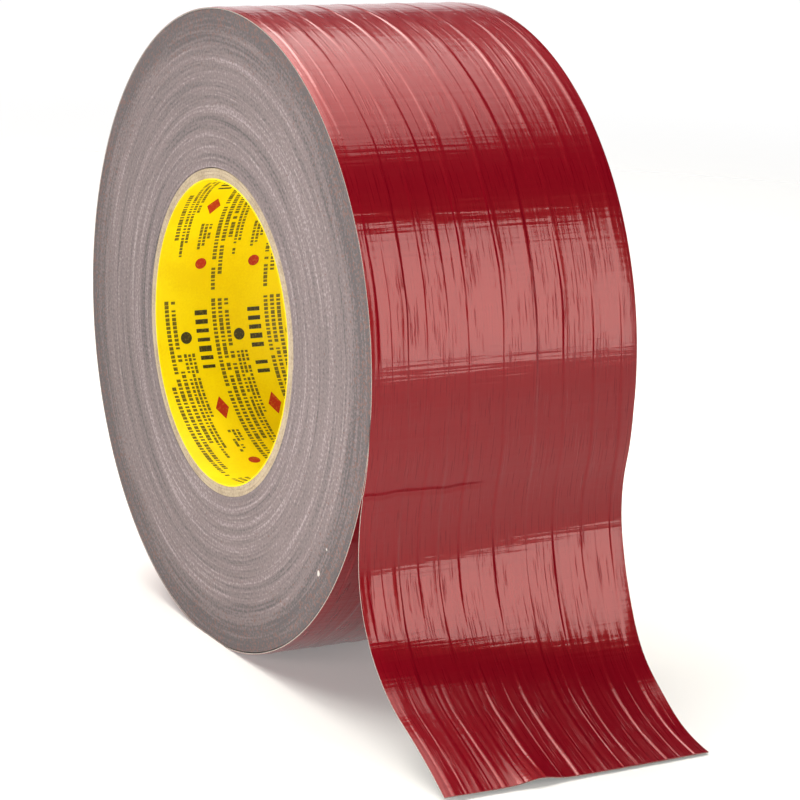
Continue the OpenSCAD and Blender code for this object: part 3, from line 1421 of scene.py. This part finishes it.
    def heading_at(self, pivot: Vector) -> Vector:
        """Direction of the strip's middle at the point nearest to a pivot.

        Args:
            pivot: A point in metres.

        Returns:
            A unit vector.
        """
        _, points, normals = self.path(np.array([0.0]))
        near = int(np.hypot(points[:, 0, 0] - pivot.x / MM, points[:, 0, 1] - pivot.z / MM).argmin())
        normal = normals[near, 0]
        return Vector((normal[1], 0.0, -normal[0]))


# The studio

def stand(place: Vector, right: Vector, up: Vector, back: Vector) -> Matrix:
    """Give the matrix of a camera or lamp from its place and its own three directions."""
    return Matrix.Translation(place) @ Matrix((right, up, back)).transposed().to_4x4()


@dataclass(frozen=True)
class Panel:
    """A soft studio panel.

    The first side of its size runs along the roll's axis, or else level. Its level is the brightness of its
    face, where one is white. Its spin is in degrees, in its own plane, seen from behind.
    """

    name: str
    middle: Point
    facing: Point
    size: Span
    level: float
    spin: float = 0.0

    def hang(self, colour: str) -> None:
        """Add the panel to the scene.

        Args:
            colour: Colour of its light.
        """
        lamp = bpy.data.lights.new(self.name, "AREA")
        lamp.shape = "RECTANGLE"
        lamp.size, lamp.size_y = [side * MM for side in self.size]
        lamp.energy = self.level * math.pi * lamp.size * lamp.size_y
        lamp.color = linear(colour)[:3]
        back = -Vector(self.facing).normalized()
        faces_axis = abs(back.y) >= 0.5
        side = Vector((1.0, 0.0, 0.0)) if faces_axis else Vector((0.0, 1.0, 0.0))
        side = (side - back * side.dot(back)).normalized()
        side.rotate(Matrix.Rotation(math.radians(self.spin), 3, back))
        panel = new_object(self.name, lamp)
        panel.matrix_world = stand(Vector(self.middle) * MM, side, back.cross(side), back)
        panel.visible_camera = False


@dataclass
class Studio:
    """Camera, pale floor and soft panels."""

    floor_z: float
    azimuth: float = 60.57
    elevation: float = 14.0
    tilt: float = 2.31
    distance: float = 698.3
    target: Point = (30.49, 0.0, -13.24)
    lens: float = 125.77
    nearest: float = 10.0
    floor_r: float = 1100.0
    floor_sides: int = 96
    floor_colour: str = "#DCDBD9"
    fade_from: float = 250.0
    floor_glow: float = 0.2
    wall_behind: Span = (11.0, 17.0)
    wall_before: Span = (-6.0, 2.0)
    wall_turn: Span = (0.2, 0.6)
    wall_level: float = 0.85
    ceiling_level: float = 0.015
    lamp_colour: str = "#FFFCF6"
    panels: tuple[Panel, ...] = (
        Panel("front_panel", (1180.0, 680.0, 556.0), (-1.0, 0.0, 0.0), (560.0, 1228.0), 5.3),
        Panel("top_panel", (-350.2, -207.2, 770.0), (0.0, 0.0, -1.0), (1400.0, 1050.0), 2.25, spin=-5.7),
        Panel("overhead_panel", (-150.0, -210.0, 765.0), (0.0, 0.0, -1.0), (900.0, 700.0), 2.7),
        Panel("back_panel", (-400.0, -25.0, 700.0), (0.5, 0.0, -0.86), (550.0, 700.0), 3.4),
        Panel("side_panel", (150.0, -260.0, -40.0), (-0.55, 0.82, 0.15), (200.0, 200.0), 6.0))

    def camera(self) -> None:
        """Aim the camera from the photograph's side."""
        turn, rise, lean = (math.radians(angle) for angle in (self.azimuth, self.elevation, self.tilt))
        back = Vector((math.sin(turn) * math.cos(rise), -math.cos(turn) * math.cos(rise), math.sin(rise)))
        right = Vector((math.cos(turn), math.sin(turn), 0.0))
        up = back.cross(right)
        tilted = right * math.cos(lean) + up * math.sin(lean)
        upright = up * math.cos(lean) - right * math.sin(lean)
        data = bpy.data.cameras.new("photo_camera")
        data.lens = self.lens
        data.clip_start = self.nearest * MM
        camera = new_object("photo_camera", data)
        camera.matrix_world = stand((Vector(self.target) + back * self.distance) * MM, tilted, upright, back)
        bpy.context.scene.camera = camera

    def floor(self) -> None:
        """Lay a round pale floor that shows white, keeps the shadow and fades into the room."""
        ring = [(self.floor_r * MM * math.cos(a), self.floor_r * MM * math.sin(a), self.floor_z * MM)
                for a in np.linspace(0, 2 * math.pi, self.floor_sides, endpoint=False)]
        mesh = bpy.data.meshes.new("studio_floor")
        mesh.from_pydata(ring, [], [tuple(range(len(ring)))])
        material = bpy.data.materials.new("white_paper_floor")
        mesh.materials.append(material)
        tree = empty_tree(material)
        place = add_node(tree, "ShaderNodeTexCoord").outputs["Object"]
        flat = add_node(tree, "ShaderNodeVectorMath", {0: place, 1: (1.0, 1.0, 0.0)}, operation="MULTIPLY")
        far = add_node(tree, "ShaderNodeVectorMath", {0: flat}, operation="LENGTH")
        fade = add_node(tree, "ShaderNodeMapRange", {
            "Value": far, "From Min": self.fade_from * MM, "From Max": self.floor_r * MM}, **SMOOTH)
        paper = add_node(tree, "ShaderNodeBsdfDiffuse", {"Color": linear(self.floor_colour)})
        glow = add_node(tree, "ShaderNodeEmission", {"Strength": self.seen(tree, self.floor_glow)})
        both = add_node(tree, "ShaderNodeAddShader", {0: paper, 1: glow})
        clear = add_node(tree, "ShaderNodeBsdfTransparent")
        faded = add_node(tree, "ShaderNodeMixShader", {0: fade, 1: both, 2: clear})
        add_node(tree, "ShaderNodeOutputMaterial", {"Surface": faded})
        new_object("studio_floor", mesh)

    @staticmethod
    def seen(tree: NodeTree, level: float) -> Node:
        """Give a level to rays that see the background, and nothing to those that only light the object.

        Args:
            tree: The node tree.
            level: Strength for those rays.

        Returns:
            The strength.
        """
        path = add_node(tree, "ShaderNodeLightPath")
        rays = ("Camera", "Glossy", "Transmission")
        return weighted_sum(tree, [(path.outputs[f"Is {ray} Ray"], level) for ray in rays])

    def world(self) -> None:
        """Light the room: white walls, high behind the roll and low in front of it, under a dark ceiling."""
        world = bpy.data.worlds.new("studio_room")
        tree = empty_tree(world)
        way = add_node(tree, "ShaderNodeTexCoord").outputs["Generated"]
        x, _, z = add_node(tree, "ShaderNodeSeparateXYZ", {0: way}).outputs
        low, high = [add_node(tree, "ShaderNodeMapRange", {
            "Value": x, "From Min": self.wall_turn[0], "From Max": self.wall_turn[1],
            "To Min": math.sin(math.radians(behind)), "To Max": math.sin(math.radians(before))}, **SMOOTH)
            for behind, before in zip(self.wall_behind, self.wall_before)]
        wall = add_node(tree, "ShaderNodeMapRange", {
            "Value": z, "From Min": low, "From Max": high, "To Min": 1.0, "To Max": 0.0}, **SMOOTH)
        known: dict[str, Link] = {"wall": wall, "seen": self.seen(tree, 1 - self.wall_level)}
        calculate(tree, known, [("white", "ADD", "seen", self.wall_level),
                                ("level", "MULTIPLY_ADD", "wall", "white", self.ceiling_level)])
        room = add_node(tree, "ShaderNodeBackground", {
            "Color": linear("#FFFFFF"), "Strength": known["level"]})
        add_node(tree, "ShaderNodeOutputWorld", {"Surface": room})
        bpy.context.scene.world = world

    def build(self) -> None:
        """Set up the whole studio."""
        bpy.context.scene.view_settings.view_transform = "Standard"
        self.camera()
        self.floor()
        self.world()
        for panel in self.panels:
            panel.hang(self.lamp_colour)


def main() -> None:
    """Build the studio, the roll and its free end."""
    logging.basicConfig(level=logging.INFO, format="%(message)s")
    sizes = RollSizes.from_frame()
    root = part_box("tail_root_adhesive")
    peel = math.degrees(math.atan2(root[0].z, root[0].x))
    LOG.info("peel line at %.2f degrees", peel)
    creases = Creases(half_w=sizes.half_w, turn_len=2 * math.pi * sizes.roll_r)
    Studio(floor_z=sizes.floor_z).build()
    layers = TapeLayer.stack(sizes)
    OuterTurn(sizes, creases, peel).build(layers)
    WoundPack(sizes).build(SlitEdge(sizes.half_w, sizes.wound_r).material())
    Core(sizes).build(CoreBoard().material(), LinerPaper().material())
    Tail(sizes, creases, peel).build(layers)


if __name__ == "__main__":
    main()
